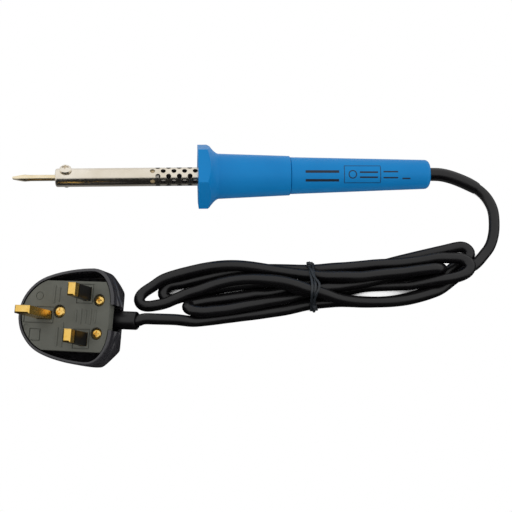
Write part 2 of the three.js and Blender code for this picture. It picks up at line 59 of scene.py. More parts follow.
def make_camera():
    """One lens looks down at the table, a little from the front."""
    eye = Vector((9.146, -210.297, 574.994)) * MM
    target = Vector((15.234, -38.993, 0)) * MM
    right = Vector((0.99937, -0.03551, 0))
    ahead = (target - eye).normalized()
    up = right.cross(ahead)
    data = bpy.data.cameras.new("camera")
    data.lens = 81.56
    data.sensor_width = 36
    data.clip_start = 0.02
    data.clip_end = 10
    camera = bpy.data.objects.new("camera", data)
    turn = Matrix((right, up, -ahead)).transposed().to_4x4()
    camera.matrix_world = Matrix.Translation(eye) @ turn
    bpy.context.scene.collection.objects.link(camera)
    bpy.context.scene.camera = camera


# ---------------------------------------------------------------- materials


def linear(hex_colour):
    """An sRGB hex colour as linear RGBA."""
    parts = [int(hex_colour[i : i + 2], 16) / 255 for i in (1, 3, 5)]
    return (*[p / 12.92 if p <= 0.04045 else ((p + 0.055) / 1.055) ** 2.4 for p in parts], 1)


def add(tree, kind, inputs=None, **settings):
    """Adds a node. An input is a value, or a pair of another node and its output's name."""
    node = tree.nodes.new("ShaderNode" + kind)
    for name, value in settings.items():
        setattr(node, name, value)
    for name, value in (inputs or {}).items():
        if isinstance(value, tuple) and len(value) == 2 and isinstance(value[0], bpy.types.Node):
            tree.links.new(value[0].outputs[value[1]], node.inputs[name])
        else:
            node.inputs[name].default_value = value
    return node


def new_material(name):
    material = bpy.data.materials.new(name)
    material.use_nodes = True
    material.node_tree.nodes.clear()
    return material, material.node_tree


def per_mm(size):
    """A noise scale, in Object coordinates, whose features are about this many millimetres wide."""
    return 1 / (size * MM)


def between(tree, factor, low, high):
    """A number that runs from low to high with a noise's 0.3 to 0.7."""
    node = add(tree, "MapRange", {
        "Value": factor, "From Min": 0.3, "From Max": 0.7, "To Min": low, "To Max": high,
    })
    return (node, "Result")


def tinted(tree, factor, first, second):
    """Two colours blended by a factor."""
    node = add(tree, "MixRGB", {"Fac": factor, "Color1": linear(first), "Color2": linear(second)})
    return (node, "Color")


def stretched(tree, squeeze):
    """Object coordinates squeezed on each axis, for a pattern with a direction."""
    place = add(tree, "TexCoord")
    node = add(tree, "Mapping", {"Vector": (place, "Object"), "Scale": squeeze})
    return (node, "Vector")


def mottle(tree, size, detail=3, squeeze=(1, 1, 1)):
    node = add(tree, "TexNoise", {
        "Vector": stretched(tree, squeeze), "Scale": per_mm(size), "Detail": detail,
    })
    return (node, "Fac")


def raised(tree, height, depth, strength=1.0):
    """A bump whose full height is this many millimetres."""
    node = add(tree, "Bump", {"Height": height, "Strength": strength, "Distance": depth * MM})
    return (node, "Normal")


def surface(tree, inputs):
    shader = add(tree, "BsdfPrincipled", inputs)
    add(tree, "OutputMaterial", {"Surface": (shader, "BSDF")})


def moulded_blue_nylon():
    """Injection-moulded glass-filled nylon: strong blue and a dull sheen.

    Its spark-eroded grain is drawn some five times as coarse as life, so that it shows.
    """
    material, tree = new_material("moulded_blue_nylon")
    grain = mottle(tree, 0.35, 3)
    drift = mottle(tree, 18, 2)
    surface(tree, {
        "Base Color": tinted(tree, between(tree, drift, 0, 1), "#007bc0", "#0281c6"),
        "Roughness": between(tree, grain, 0.36, 0.46),
        "Normal": raised(tree, grain, 0.02, 0.5),
        "Specular IOR Level": 0.22,
    })
    return material


def pad_printed_ink():
    """Pad-printed ink: a thin matt near-black film whose edge breaks up a little."""
    material, tree = new_material("pad_printed_ink")
    speck = mottle(tree, 0.3, 2)
    surface(tree, {
        "Base Color": tinted(tree, between(tree, speck, 0, 1), "#0c1a2c", "#10243a"),
        "Roughness": between(tree, speck, 0.5, 0.65),
    })
    return material


def nickel_plated_steel():
    """Nickel over drawn steel tube: warm and bright, polished round the tube, with faint heat straw."""
    material, tree = new_material("nickel_plated_steel")
    polish = mottle(tree, 0.5, 3, (1, 0.06, 0.06))
    straw = mottle(tree, 14, 3)
    surface(tree, {
        "Base Color": tinted(tree, between(tree, straw, 0, 1), "#d9cfbd", "#e9e1d3"),
        "Metallic": 1.0,
        "Roughness": between(tree, polish, 0.17, 0.27),
        "Normal": raised(tree, polish, 0.006, 0.5),
    })
    return material


def tinned_copper_bit():
    """Iron-plated copper, tinned at the edge: warm bright metal with brown flux haze in patches."""
    material, tree = new_material("tinned_copper_bit")
    haze = mottle(tree, 3, 4, (0.5, 1, 1))
    scratch = mottle(tree, 0.4, 2, (0.1, 1, 1))
    surface(tree, {
        "Base Color": tinted(tree, between(tree, haze, 0, 1), "#e6d5b0", "#f6e9cd"),
        "Metallic": 1.0,
        "Roughness": between(tree, scratch, 0.2, 0.34),
        "Normal": raised(tree, scratch, 0.01, 0.5),
    })
    return material


def turned_steel():
    """Bright machined steel of small fittings: fine tool marks and a thin dull oxide."""
    material, tree = new_material("turned_steel")
    marks = mottle(tree, 0.4, 3)
    surface(tree, {
        "Base Color": tinted(tree, between(tree, marks, 0, 1), "#b3ada3", "#c6c1b8"),
        "Metallic": 1.0,
        "Roughness": between(tree, marks, 0.28, 0.42),
    })
    return material


def scaled_steel():
    """Steel inside the tube and in its vents: black with heat scale."""
    material, tree = new_material("heat_scaled_steel")
    scale = mottle(tree, 0.6, 4)
    surface(tree, {
        "Base Color": tinted(tree, between(tree, scale, 0, 1), "#1c1815", "#332c27"),
        "Roughness": between(tree, scale, 0.55, 0.8),
        "Normal": raised(tree, scale, 0.02),
    })
    return material


def resistance_alloy():
    """Oxidised nickel-chrome winding: grey-brown turns lying side by side, 0.5 mm apart."""
    material, tree = new_material("resistance_alloy")
    turns = add(tree, "TexWave", {
        "Vector": stretched(tree, (1, 1, 1)), "Scale": per_mm(0.5) / 6.283, "Distortion": 0.0,
    }, bands_direction="X")
    surface(tree, {
        "Base Color": tinted(tree, (turns, "Fac"), "#4a4038", "#8d8378"),
        "Metallic": 1.0,
        "Roughness": 0.45,
        "Normal": raised(tree, (turns, "Fac"), 0.1),
    })
    return material


def split_mica():
    """Split mica sheet: amber, in glossy flakes that overlap."""
    material, tree = new_material("split_mica")
    flakes = add(tree, "TexVoronoi", {"Vector": stretched(tree, (1, 1, 1)), "Scale": per_mm(3)})
    surface(tree, {
        "Base Color": tinted(tree, (flakes, "Distance"), "#a88d62", "#cdb78f"),
        "Roughness": 0.3,
        "Normal": raised(tree, (flakes, "Distance"), 0.05),
    })
    return material


def steatite():
    """Fired steatite: off-white, matt and slightly speckled."""
    material, tree = new_material("steatite")
    speck = mottle(tree, 0.4, 4)
    surface(tree, {
        "Base Color": tinted(tree, between(tree, speck, 0, 1), "#d8d2c3", "#ebe6da"),
        "Roughness": 0.6,
        "Normal": raised(tree, speck, 0.02),
    })
    return material


def drawn_brass():
    """Drawn brass pin stock: yellow gold, polished, with fine draw lines along the pins."""
    material, tree = new_material("drawn_brass")
    lines = mottle(tree, 0.35, 3, (1, 1, 0.08))
    tarnish = mottle(tree, 6, 3)
    surface(tree, {
        "Base Color": tinted(tree, between(tree, tarnish, 0, 1), "#e3b552", "#f5d180"),
        "Metallic": 1.0,
        "Roughness": between(tree, lines, 0.2, 0.32),
        "Normal": raised(tree, lines, 0.008, 0.5),
    })
    return material


def black_pvc():
    """Extruded plasticised PVC: satin black, a soft highlight and a faint grain, drawn coarse to show."""
    material, tree = new_material("black_pvc")
    grain = mottle(tree, 0.4, 2)
    wear = mottle(tree, 15, 4)
    surface(tree, {
        "Base Color": tinted(tree, between(tree, wear, 0, 1), "#070608", "#0c0b0d"),
        "Roughness": between(tree, wear, 0.3, 0.38),
        "Specular IOR Level": 0.42,
        "Normal": raised(tree, grain, 0.01, 0.6),
    })
    return material


def slate_tie_pvc():
    """PVC over a soft wire: slate grey, slightly glossy, with fine creases from twisting."""
    material, tree = new_material("slate_tie_pvc")
    crease = mottle(tree, 1.1, 3)
    surface(tree, {
        "Base Color": tinted(tree, between(tree, crease, 0, 1), "#171c20", "#242a30"),
        "Roughness": between(tree, crease, 0.36, 0.5),
        "Normal": raised(tree, crease, 0.12, 0.7),
    })
    return material


def wire_pvc(name, shade, stripe, stripe_size=0.0):
    """Soft PVC of a core: plain, or with the two colours of the earth core in broad stripes."""
    material, tree = new_material(name)
    cloud = mottle(tree, 2, 2)
    blend = between(tree, cloud, 0, 1)
    if stripe_size:
        bands = add(tree, "TexWave", {
            "Vector": stretched(tree, (1, 1, 1)), "Scale": per_mm(stripe_size) / 6.283,
        }, bands_direction="DIAGONAL")
        edge = add(tree, "MapRange", {"Value": (bands, "Fac"), "From Min": 0.42, "From Max": 0.58})
        blend = (edge, "Result")
    surface(tree, {
        "Base Color": tinted(tree, blend, shade, stripe),
        "Roughness": between(tree, cloud, 0.38, 0.5),
    })
    return material


def black_urea():
    """Compression-moulded urea: hard black-grey with a glossy skin and a faint orange peel."""
    material, tree = new_material("black_urea")
    peel = mottle(tree, 1.6, 2)
    scuff = mottle(tree, 0.5, 4, (1, 1, 0.3))
    surface(tree, {
        "Base Color": tinted(tree, between(tree, scuff, 0, 1), "#29282c", "#302f33"),
        "Roughness": between(tree, scuff, 0.24, 0.36),
        "IOR": 1.6,
        "Normal": raised(tree, peel, 0.03, 0.6),
    })
    return material


def grey_urea():
    """Matt moulded urea: olive-grey, a little lighter where rubbed, its even grain drawn coarse to show."""
    material, tree = new_material("grey_urea")
    grain = mottle(tree, 0.35, 4)
    rub = mottle(tree, 9, 3)
    surface(tree, {
        "Base Color": tinted(tree, between(tree, rub, 0, 1), "#55564e", "#5f6058"),
        "Roughness": between(tree, grain, 0.6, 0.78),
        "Normal": raised(tree, grain, 0.03, 0.7),
    })
    return material


# ---------------------------------------------------------------- stage


def make_stage():
    """A white table in a soft white tent that is open at the front, where the room is dark.

    Seen in reflections, the table's colour is painted dark in front and light behind by its position,
    a painted shade for a tent with its front flap down. Seen straight on, the table is an even white
    glow with painted shadow, from ambient occlusion, in the narrow gaps between runs of the flex.
    """
    bpy.ops.mesh.primitive_plane_add(size=6, location=(0, 0, -0.0002))
    table = bpy.context.object
    table.name = "table"
    material, tree = new_material("white_table")
    ray = add(tree, "LightPath")
    paper = add(tree, "BsdfDiffuse", {"Color": (0.8, 0.8, 0.8, 1)})
    place = add(tree, "TexCoord")
    part = add(tree, "SeparateXYZ", {"Vector": (place, "Object")})
    # painted shade: for glossy rays only, the table's colour runs from dark grey in front to light grey
    # behind by its Y position
    front = add(tree, "MapRange", {
        "Value": (part, "Y"), "From Min": -36 * MM, "From Max": -20 * MM, "To Min": 0.02, "To Max": 0.3,
    })
    back = add(tree, "MapRange", {
        "Value": (part, "Y"), "From Min": 12 * MM, "From Max": 24 * MM, "To Min": 0.0, "To Max": 0.65,
    })
    grey = add(tree, "Math", {0: (front, "Result"), 1: (back, "Result")})
    painted_reflection_table = add(tree, "BsdfDiffuse", {"Color": (grey, "Value")})
    bounce = add(tree, "MixShader", {0: (ray, "Is Glossy Ray"), 1: (paper, "BSDF"), 2: (painted_reflection_table, "BSDF")})
    # painted shadow: the white glow that the camera sees fades to black where ambient occlusion finds a
    # narrow gap between runs of the flex
    crevice = add(tree, "AmbientOcclusion", {"Distance": 5 * MM})
    painted_gap_shadow = add(tree, "MapRange", {"Value": (crevice, "AO"), "From Min": 0.2, "From Max": 0.36})
    white = add(tree, "Emission", {"Color": (1, 1, 1, 1), "Strength": (painted_gap_shadow, "Result")})
    both = add(tree, "MixShader", {0: (ray, "Is Camera Ray"), 1: (bounce, "Shader"), 2: (white, "Emission")})
    add(tree, "OutputMaterial", {"Surface": (both, "Shader")})
    table.data.materials.append(material)

    world = bpy.data.worlds.new("room")
    bpy.context.scene.world = world
    world.use_nodes = True
    tree = world.node_tree
    tree.nodes.clear()
    direction = add(tree, "TexCoord")
    part = add(tree, "SeparateXYZ", {"Vector": (direction, "Generated")})
    ray = add(tree, "LightPath")
    seen = add(tree, "MapRange", {
        "Value": (part, "Y"), "From Min": -0.56, "From Max": -0.44, "To Min": 0.015, "To Max": 1.0,
    }, interpolation_type="SMOOTHSTEP")
    soft = add(tree, "MapRange", {"Value": (part, "Y"), "From Min": -0.7, "From Max": -0.4, "To Min": 0.6})
    tent = add(tree, "Mix", {0: (ray, "Is Diffuse Ray"), 2: (seen, "Result"), 3: (soft, "Result")})
    sky = add(tree, "Background", {"Color": (1, 1, 1, 1), "Strength": (tent, "Result")})
    add(tree, "OutputWorld", {"Surface": (sky, "Background")})
    bpy.context.scene.view_settings.view_transform = "Standard"


# ---------------------------------------------------------------- places


def iron_matrix():
    """The iron's own frame, in millimetres: X runs from the tip along its axis."""
    out = Vector(JOINTS["bit_slide"]["axis"])
    screw = JOINTS["clamp_screw_turn"]
    tip = Vector(screw["pos_m"]) - SCREW_SEAT * MM * Vector(screw["axis"]) + SCREW_AT * MM * out
    along = -out
    side = Vector((0, 1, 0))
    turn = Matrix((along, side, along.cross(side))).transposed().to_4x4()
    return Matrix.Translation(tip) @ turn @ IN_MM


def plug_matrix():
    """The plug's own frame, in millimetres.

    Its rim is z = 0, its pins stand on +Z and its flex leaves on +X.
    """
    first, second = (Vector(JOINTS[f"grip_screw_{n}_turn"]["pos_m"]) for n in (1, 2))
    up = Vector(JOINTS["cover_screw_turn"]["axis"])
    side = (first - second).normalized()
    along = side.cross(up)
    origin = (first + second) / 2 - GRIP_SCREW_X * MM * along + HEAD_DEPTH * MM * up
    turn = Matrix((along, side, up)).transposed().to_4x4()
    return Matrix.Translation(origin) @ turn @ IN_MM


# millimetres: the clamp screw's place from the tip, and its joint's height over the barrel's axis
SCREW_AT = 26.9
SCREW_SEAT = 5.01
# millimetres: the cord-grip screws' place from the plug's origin, and their joints' depth under the rim
GRIP_SCREW_X = 6.6
HEAD_DEPTH = 2.2
ON_IRON = iron_matrix()
ON_PLUG = plug_matrix()

# ---------------------------------------------------------------- flex

FLEX_RADIUS = 2.8
TIGHTEST_BEND = 3.9
TAIL = 214.2
FLEX_DEPTH = 12
BODY = "iron"

# centre points in millimetres, from where the flex leaves the handle to where it enters the plug
LEAD = [
    [112.7, -0.2, 6.8], [117.9, -1.4, 6.3], [123.1, -3.3, 5.6], [128.3, -5.6, 4.9], [132.4, -8.0, 4.2],
    [135.9, -11.4, 3.5], [138.2, -15.6, 3.1], [139.4, -20.3, 2.9], [139.4, -25.8, 2.9], [138.7, -31.2, 2.9],
    [137.2, -36.1, 2.9], [135.2, -39.8, 2.9], [132.7, -42.6, 3.4], [129.9, -45.4, 4.5], [126, -48.8, 6.2],
    [121.6, -51.8, 7.8], [115.6, -55.8, 8.5], [107.6, -60.5, 8.5], [99.7, -64.2, 8.5], [91.9, -66.5, 8.5],
    [84.3, -67.5, 8.5], [76.7, -67.7, 8.6], [69, -67.4, 9], [61.5, -66.7, 10], [55.5, -65.7, 11.2],
    [50, -64, 12.4], [45.5, -62.6, 13.2], [40.5, -61.2, 13.4],
]
FIRST_FOLD = [
    [36, -59.4, 13.3], [30.5, -57.5, 13], [24, -55.7, 12.2], [16.5, -54.2, 10.6], [9, -53.6, 9.2],
    [1.5, -54.2, 8.5], [-6, -55.9, 8.4], [-13.7, -58.5, 8.4], [-19.8, -60.4, 8.4], [-25.5, -62.4, 8.4],
    [-31.5, -64.4, 8], [-36.7, -65.1, 7.4], [-40.5, -65.2, 6.8], [-43.4, -64.5, 6.3], [-45.1, -62.6, 6],
    [-45, -60.6, 5.8], [-43.4, -58.6, 5.8], [-40.7, -56.8, 6], [-37, -54.9, 6.6], [-32.2, -52.4, 7.6],
    [-25.8, -50.1, 8.4], [-18.6, -48.2, 8.5], [-11, -46.7, 8.5], [-3.3, -46, 8.5], [4.3, -46.2, 8.5],
    [12, -47.1, 8.5], [19.5, -48.4, 8.5], [27, -49.8, 8.4], [34.5, -51.1, 8.2], [41.7, -52.4, 8.6],
]
SECOND_FOLD = [
    [50, -54, 10], [58.5, -55.3, 11.8], [67, -56.1, 12.4], [74.5, -55.4, 12.2], [82.5, -54.3, 11.6],
    [90, -53.6, 11.4], [96.5, -53, 12], [102, -52.7, 12.4], [106.2, -52.5, 12.2], [108.6, -52.5, 10.6],
    [109.8, -51.8, 8.4], [109.2, -51.6, 5.8], [106.8, -51.6, 3.8], [102, -52.2, 2.9], [95.3, -53.5, 3.2],
    [87.5, -54.6, 4.2], [79.7, -56, 5.8], [72, -57.4, 7.2], [64, -58.2, 7.8], [56.8, -59, 8.1],
    [50, -59.6, 8.2], [42.2, -61.3, 8.4],
]
THIRD_FOLD = [
    [36.2, -60.1, 8.2], [29.8, -57.6, 7.6], [23.8, -55.4, 6.2], [16.8, -55, 4], [9, -54.9, 3],
    [1.4, -55.3, 2.9], [-6.3, -56.4, 2.9], [-12.5, -57.6, 2.9], [-18, -58.7, 2.9], [-23.7, -59.9, 2.9],
    [-28.6, -60.6, 2.9], [-32.2, -60.2, 2.9], [-34, -58.6, 2.9], [-33.2, -56.6, 2.9], [-30, -54.7, 2.9],
    [-24, -53.6, 2.9], [-18, -52.1, 2.9], [-10.8, -50.5, 2.9], [-3, -48.8, 2.9], [5.2, -47.5, 2.9],
    [14, -47, 2.9], [23, -47.4, 2.9], [33, -48, 2.9], [42.6, -48.6, 3.4],
]
FOURTH_FOLD = [
    [51.8, -49.3, 5.4], [59, -49.5, 7.4], [67.2, -49, 8.4], [75.4, -48.3, 8.6], [83.6, -48, 8.6],
    [91, -47.6, 8.6], [98.7, -47.1, 9.2], [106, -46.7, 10.2], [112.5, -47, 11.2], [117.4, -47.3, 12],
    [120.9, -48.3, 12.6], [123.1, -50.6, 13], [123.1, -53, 13.2], [121.3, -55.2, 13.2], [118.2, -56.9, 13],
    [113.8, -58, 12], [108.5, -58.5, 10], [102.8, -58.4, 7.6], [96, -57.8, 5.2], [89, -56.7, 3.6],
    [82, -56.7, 2.9], [75, -57.2, 2.9], [68, -58.1, 2.9], [61, -59.5, 2.9], [54.8, -60.2, 2.9],
    [48.6, -60.6, 2.9], [42.5, -60.3, 2.9],
]
FIFTH_FOLD = [
    [36.3, -61.4, 3.3], [29, -63.4, 4.6], [22, -65.1, 5.6], [14.2, -66.7, 6.6], [6.6, -67.7, 7.8],
    [-0.9, -69, 9.4], [-7.9, -69.9, 11], [-13.8, -70.7, 12.4], [-17.6, -70.2, 13], [-20, -68.7, 12.4],
    [-20.5, -66.8, 10.6], [-19.3, -64.9, 8.4], [-16, -64, 6.8], [-11, -63.1, 5.8], [-5, -62.4, 4.8],
    [2, -61.6, 3.8], [9, -60.8, 3.1], [14.5, -59.9, 2.9], [20.6, -60, 2.9], [27.8, -59.2, 2.9],
    [35, -57, 2.9], [42.3, -54.7, 2.9],
]
SIXTH_FOLD = [
    [50, -53.4, 2.9], [57.8, -51.6, 2.9], [65.7, -49.8, 2.9], [73.5, -48.3, 2.9], [81.4, -46.8, 2.9],
    [89.2, -45, 2.9], [97, -43.3, 2.9], [105, -41.7, 2.9], [112.7, -40.3, 2.9], [118.4, -39.4, 2.9],
    [122.5, -39.4, 2.9], [125.2, -40.9, 2.9], [126.2, -43.2, 2.9], [124.4, -45.4, 2.9], [121, -46.8, 2.9],
    [116.8, -48.7, 2.9], [111.6, -52, 2.9], [106.6, -57, 2.9], [101.2, -62.1, 2.9], [93.3, -64.6, 2.9],
    [85.6, -66.1, 2.9], [77.4, -66.6, 2.9], [69.3, -66.4, 2.9], [61.7, -65.7, 2.9], [55, -65.2, 2.9],
    [49, -65.4, 2.9], [42.3, -66, 2.9],
]
RUN_TO_PLUG = [
    [35, -67.1, 2.9], [27.4, -68.4, 2.9], [19.7, -69.4, 2.9], [12, -70.4, 2.9], [5, -71.3, 3.6],
    [-1.6, -72.2, 5], [-8, -73.1, 6.6], [-14, -73.9, 8.9], [-20.6, -74.6, 12.2], [-28, -74.9, 15.6],
    [-35, -75.2, 18.7], [-41, -75.3, 20.4],
]


def resampled(line, spacing):
    """The same line as evenly spaced points."""
    run = np.r_[0, np.cumsum(np.linalg.norm(np.diff(line, axis=0), axis=1))]
    wanted = np.linspace(0, run[-1], int(run[-1] / spacing) + 1)
    return np.stack([np.interp(wanted, run, line[:, axis]) for axis in range(3)], axis=1)


def spline(points, spacing):
    """A Catmull-Rom curve through the points, as evenly spaced samples."""
    ends = [2 * points[0] - points[1], *points, 2 * points[-1] - points[-2]]
    dense = []
    for a, b, c, d in zip(ends, ends[1:], ends[2:], ends[3:]):
        for t in np.linspace(0, 1, 12, endpoint=False):
            square, cube = t * t, t * t * t
            curve = 2 * b + (c - a) * t + (2 * a - 5 * b + 4 * c - d) * square
            curve += (3 * b - a - 3 * c + d) * cube
            dense.append(0.5 * curve)
    return resampled(np.array([*dense, points[-1]]), spacing)


def least_distances(count, spacing):
    """How near two points of the flex may come.

    Points on one bend may be nearer than a diameter. Past it they part, then may lie side by side.
    """
    half_turn = math.pi * TIGHTEST_BEND
    along = np.abs(np.subtract.outer(np.arange(count), np.arange(count))) * spacing
    around_bend = 2 * TIGHTEST_BEND * np.sin(np.minimum(along / TIGHTEST_BEND, math.pi) / 2)
    opening = 2 * TIGHTEST_BEND - 0.25 * (along - half_turn)
    side_by_side = np.maximum(opening, 2 * FLEX_RADIUS + 0.06)
    return np.where(along < half_turn, around_bend, side_by_side) * (along > 3)


def settled(line, spacing, rounds=170):
    """Eases the flex until its runs lie on and beside each other and on the table.

    In each round runs that overlap press each other apart, bends tighter than the flex allows open,
    the flex sinks a little and is held near the way it was laid. Its two ends stay where they are.
    """
    start = line.copy()
    count = len(line)
    least = least_distances(count, spacing)
    from_ends = np.minimum(np.arange(count), count - 1 - np.arange(count)) * spacing
    free = np.clip((from_ends - 30) / 15, 0, 1)[:, None]
    for _ in range(rounds):
        gap = line[:, None, :] - line[None, :, :]
        distance = np.linalg.norm(gap, axis=2) + 1e-9
        press = np.clip(least - distance, 0, None)
        shift = line + (gap * (press / distance)[:, :, None]).sum(axis=1) * 0.3 - start
        bend = line[2:] + line[:-2] - 2 * line[1:-1]
        sharpness = np.linalg.norm(bend, axis=1) + 1e-9
        too_tight = np.clip(1 - spacing * spacing / TIGHTEST_BEND / sharpness, 0, 1)
        shift[1:-1] += 0.3 * bend * too_tight[:, None]
        shift[:, :2] *= 0.98
        shift[:, 2] -= 0.01
        shift[1:-1] = 0.5 * shift[1:-1] + 0.25 * (shift[:-2] + shift[2:])
        line = start + shift * free
        line[:, 2] = np.maximum(line[:, 2], FLEX_RADIUS + 0.05)
    return line


def flex_route():
    """The flex's centre line, from its anchor in the handle to its clamp in the plug."""
    in_handle = [ON_IRON @ Vector((x, 0, 0)) / MM for x in (190, 198, 206, TAIL)]
    in_plug = [ON_PLUG @ Vector((x, 0, -FLEX_DEPTH)) / MM for x in (22.7, 16, 9, 1.5)]
    hank = [*FIRST_FOLD, *SECOND_FOLD, *THIRD_FOLD, *FOURTH_FOLD, *FIFTH_FOLD, *SIXTH_FOLD]
    points = [np.array(point) for point in (*in_handle, *LEAD, *hank, *RUN_TO_PLUG, *in_plug)]
    line = spline(points, 2.0)
    spacing = np.linalg.norm(line[1] - line[0])
    return spline(list(settled(line, spacing)), 1.0)


def curve_along(name, line, radius, shares=None):
    """A round curve along points in millimetres; shares thin it from point to point."""
    data = bpy.data.curves.new(name, "CURVE")
    data.dimensions = "3D"
    path = data.splines.new("POLY")
    path.points.add(len(line) - 1)
    path.points.foreach_set("co", np.c_[np.array(line) * MM, np.ones(len(line))].ravel())
    if shares is not None:
        path.points.foreach_set("radius", shares)
    data.bevel_depth = radius * MM
    data.bevel_resolution = 6
    data.use_fill_caps = True
    curve = bpy.data.objects.new(name, data)
    bpy.context.scene.collection.objects.link(curve)
    return curve


# ---------------------------------------------------------------- shaping


def all_of(form):
    """Everything in a form, for an operator that wants it all."""
    return form.verts[:] + form.edges[:] + form.faces[:]


def lathe(profile, steps=96):
    """A profile of (along, radius) points spun about X. It ends on the axis or closes on itself."""
    form = bmesh.new()
    verts = [form.verts.new((along, 0, radius)) for along, radius in profile]
    for first, second in zip(verts, verts[1:]):
        form.edges.new((first, second))
    bmesh.ops.spin(
        form, geom=form.verts[:] + form.edges[:], cent=(0, 0, 0), axis=(1, 0, 0),
        angle=2 * math.pi, steps=steps, use_merge=True,
    )
    bmesh.ops.remove_doubles(form, verts=form.verts, dist=1e-4)
    bmesh.ops.recalc_face_normals(form, faces=form.faces)
    return form


def ring(front, back, inner, outer):
    return lathe([(front, inner), (front, outer), (back, outer), (back, inner), (front, inner)])


def rod(radius, low, high, steps=48):
    """A round rod along Z."""
    form = bmesh.new()
    bmesh.ops.create_cone(
        form, cap_ends=True, segments=steps, radius1=radius, radius2=radius, depth=high - low,
        matrix=Matrix.Translation((0, 0, (low + high) / 2)),
    )
    return form


def box(low, high):
    form = bmesh.new()
    bmesh.ops.create_cube(form, size=1)
    low, high = Vector(low), Vector(high)
    bmesh.ops.scale(form, vec=high - low, verts=form.verts)
    bmesh.ops.translate(form, vec=(low + high) / 2, verts=form.verts)
    return form


def moved(form, *turns):
    for turn in turns:
        bmesh.ops.transform(form, matrix=turn, verts=form.verts)
    return form


def joined(*forms):
    """Several forms as one, without joining their surfaces."""
    whole = bmesh.new()
    for form in forms:
        part = bpy.data.meshes.new("part")
        form.to_mesh(part)
        whole.from_mesh(part)
        bpy.data.meshes.remove(part)
        form.free()
    return whole


def as_object(form, name="blank"):
    mesh = bpy.data.meshes.new(name)
    form.to_mesh(mesh)
    form.free()
    thing = bpy.data.objects.new(name, mesh)
    bpy.context.scene.collection.objects.link(thing)
    return thing


def modified(blank, *tools):
    """The blank as a form with its modifiers applied. The blank and the tools are put away."""
    bpy.context.view_layer.update()
    mesh = bpy.data.meshes.new_from_object(blank.evaluated_get(bpy.context.evaluated_depsgraph_get()))
    form = bmesh.new()
    form.from_mesh(mesh)
    for thing in (blank, *tools):
        bpy.data.objects.remove(thing)
    return form


def worked(form, tool, operation="DIFFERENCE"):
    """The form with the tool's shape cut away, kept or added."""
    blank, cutter = as_object(form), as_object(tool, "tool")
    work = blank.modifiers.new("work", "BOOLEAN")
    work.operation = operation
    work.solver = "EXACT"
    work.object = cutter
    return modified(blank, cutter)


def sliced(form, point, normal):
    """Cuts off what lies beyond a plane and closes the cut."""
    cut = bmesh.ops.bisect_plane(
        form, geom=all_of(form), dist=1e-5, plane_co=point, plane_no=normal, clear_outer=True,
    )
    edges = [edge for edge in cut["geom_cut"] if isinstance(edge, bmesh.types.BMEdge)]
    if edges:
        bmesh.ops.contextual_create(form, geom=edges)
    return form


def softened(form, width, segments=3, angle=30, keep=lambda edge: True):
    """Rounds the edges that are sharper than an angle in degrees, and that the test keeps."""
    edges = [
        edge for edge in form.edges
        if len(edge.link_faces) == 2 and edge.calc_face_angle() > math.radians(angle) and keep(edge)
    ]
    bmesh.ops.bevel(
        form, geom=edges, offset=width, segments=segments, profile=0.5, affect="EDGES",
        material=-1, clamp_overlap=True,
    )
    return form


def finished(name, form, place, material, nodes=(), smooth=35):
    """Makes a form in millimetres into a piece that lies in its place and rides on the iron."""
    bmesh.ops.remove_doubles(form, verts=form.verts, dist=1e-4)
    bmesh.ops.transform(form, matrix=place, verts=form.verts)
    mesh = bpy.data.meshes.new(name)
    form.to_mesh(mesh)
    form.free()
    mesh.shade_smooth()
    mesh.set_sharp_from_angle(angle=math.radians(smooth))
    mesh.materials.append(material)
    piece = bpy.data.objects.new(name, mesh)
    bpy.context.scene.collection.objects.link(piece)
    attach(piece, BODY)
    if nodes:
        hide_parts(*nodes)
    return piece


# ---------------------------------------------------------------- hot end

BARREL_RADIUS = 4.71
BARREL_BORE = 4.21
VENT_ROWS = 10


def on_barrel(along, turn, radius):
    """A round tool through the barrel's wall, turned round the barrel from straight up."""
    tool = rod(radius, 3.1, 5.9, 28)
    return moved(tool, Matrix.Rotation(-turn, 4, "X"), Matrix.Translation((along, 0, 0)))


def barrel():
    """A tube with a rolled front lip, holes for the clamp screw and the rivet, and rows of vents."""
    tube = lathe([
        (21.6, 2.075), (21.6, 3.85), (21.72, 4.2), (21.95, 4.45), (22.25, 4.62), (22.6, BARREL_RADIUS),
        (118, BARREL_RADIUS), (118, BARREL_BORE), (22.2, BARREL_BORE), (22.2, 2.075), (21.6, 2.075),
    ], 160)
    screw_turn = math.radians(30)
    tools = [on_barrel(SCREW_AT, screw_turn, 1.85), on_barrel(SCREW_AT, screw_turn + math.pi, 1.35)]
    for row in range(VENT_ROWS):
        turn = math.radians(-16.6) + row * math.tau / VENT_ROWS
        half_step = 0.5 if row % 2 == 0 else 0
        for hole in range(4 if row % 2 == 0 else 5):
            tools.append(on_barrel(70.8 + 5.44 * (hole + half_step), turn, 1.28))
    return worked(tube, joined(*tools))


def darken_inside(tube):
    """Gives the tube's inner wall and the walls of its vents a second, heat-scaled finish."""
    tube.data.materials.append(scaled_steel())
    for polygon in tube.data.polygons:
        centre = ON_IRON.inverted() @ polygon.center
        polygon.material_index = int(centre.x > 25 and centre.yz.length < 4.6)


def bit():
    """The chisel: a slightly flared rod with two flats that close to a thin edge."""
    form = lathe([(0, 0), (0, 1.6), (6, 1.8), (9, 1.575), (59.6, 1.575), (60, 1.3), (60, 0)], 64)
    slope = math.atan2(1.8 - 0.35, 6.6)
    turn = Matrix.Rotation(math.radians(6), 3, "X")
    for side in (1, -1):
        normal = Vector((-math.sin(slope), side * math.cos(slope), 0))
        sliced(form, turn @ Vector((0, side * 0.35, 0)), turn @ normal)
    return form


# ---------------------------------------------------------------- handle


GUARD_FLAT = 15.22
SHELL_START = 141.5
SHELL_LENGTH = 70.2
SHELL_WIDE = 9.53
SHELL_NARROW = 7.56


